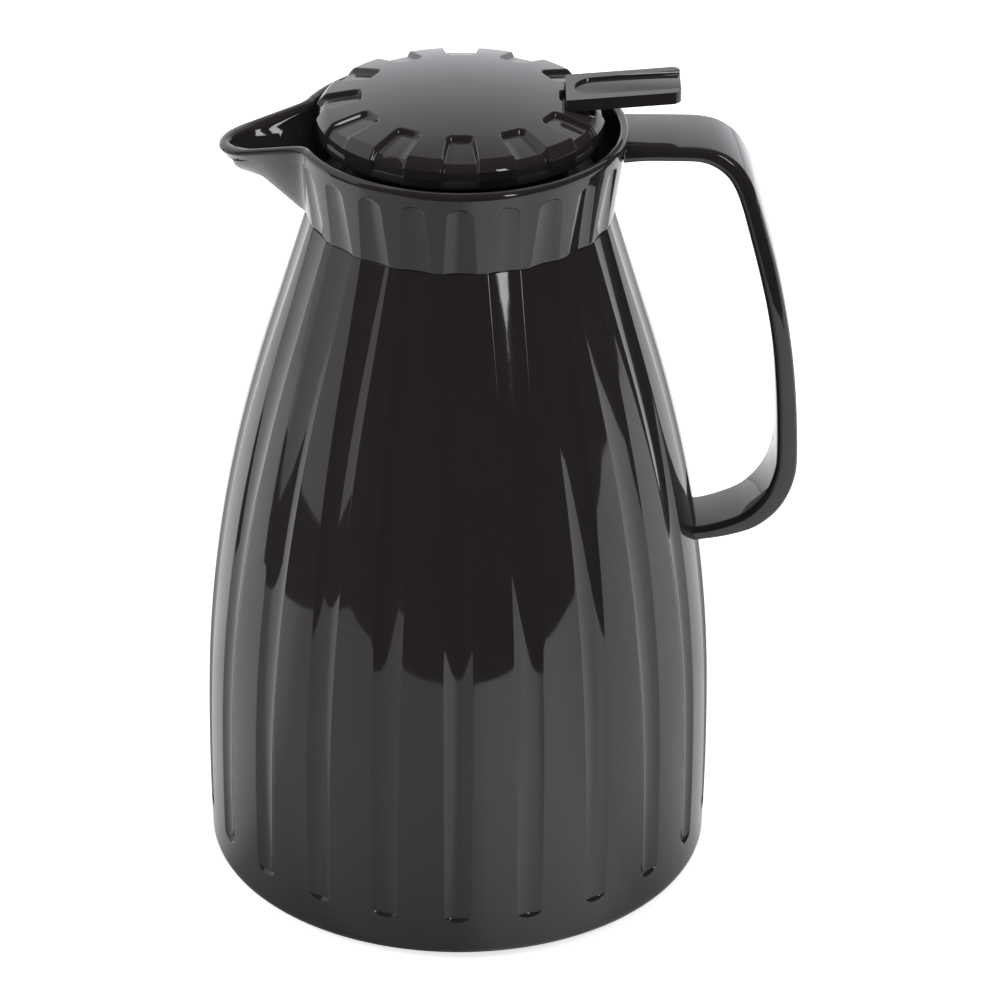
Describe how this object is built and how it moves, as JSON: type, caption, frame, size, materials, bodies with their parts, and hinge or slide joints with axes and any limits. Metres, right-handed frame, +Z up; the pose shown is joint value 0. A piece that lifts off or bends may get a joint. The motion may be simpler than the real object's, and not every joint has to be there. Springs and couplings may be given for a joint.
{
  "type": "insulated coffee server",
  "caption": "Fluted, bulbous insulated coffee server with a pouring collar and beak, a strap handle and a screw-in stopper lid worked by a thumb lever.",
  "frame": {"origin": "on the upright axis of the body, at the rest face of the rubber foot", "axes": "+Z up along the body's axis, +X towards the handle, -X towards the beak"},
  "size_m": [0.1739, 0.1498, 0.2486],
  "materials": {
    "black_gloss": "moulded ABS, high gloss black",
    "black_matte": "moulded polypropylene, satin black",
    "glass": "blown glass, clear",
    "steel": "plain stainless steel",
    "rubber_black": "moulded rubber, matt",
    "silicone_clear": "silicone rubber, translucent grey",
    "valve_plastic": "acetal, natural"
  },
  "bodies": {
    "server": {"body_shell": "black_gloss", "collar": "black_gloss", "neck_tube": "black_matte", "handle": "black_gloss", "handle_screw": "steel", "base_cap": "black_matte", "base_screws": "steel", "foot_pad": "rubber_black", "flask_outer": "glass", "flask_inner": "glass", "flask_pads": "valve_plastic", "flask_cushion": "rubber_black", "neck_gasket": "silicone_clear"},
    "lid_seal": {"stopper_gasket": "silicone_clear"},
    "lid": {"lid_cap": "black_gloss", "stopper_body": "black_matte", "lid_screws": "steel", "lever_pin": "steel", "return_spring": "steel"},
    "lever": {"thumb_lever": "black_gloss"},
    "valve": {"valve_disc": "valve_plastic", "valve_seal": "silicone_clear", "valve_stem": "valve_plastic", "stem_cap": "valve_plastic"}
  },
  "joints": [
    {"name": "lid_lift", "type": "slide", "parent": "server", "child": "lid_seal", "axis": [0, 0, 1], "range_m": [0, 0.0642]},
    {"name": "lid_turn", "type": "hinge", "parent": "lid_seal", "child": "lid", "pos_m": [0, 0, 0.22], "axis": [0, 0, 1], "range_deg": [0, 960]},
    {"name": "lever_press", "type": "hinge", "parent": "lid", "child": "lever", "pos_m": [0.033, 0, 0.2385], "axis": [0, 1, 0], "range_deg": [0, 8], "stiffness_Nm_per_rad": 1, "springref_deg": -5.73},
    {"name": "valve_slide", "type": "slide", "parent": "lid", "child": "valve", "axis": [0, 0, 1], "range_m": [0, 0.0054], "deforming": ["return_spring"]}
  ],
  "couplings": [
    {"joint": "lid_lift", "follows": "lid_turn", "m_per_rad": 0.0038197},
    {"joint": "valve_slide", "follows": "lever_press", "m_per_rad": 0.038}
  ]
}
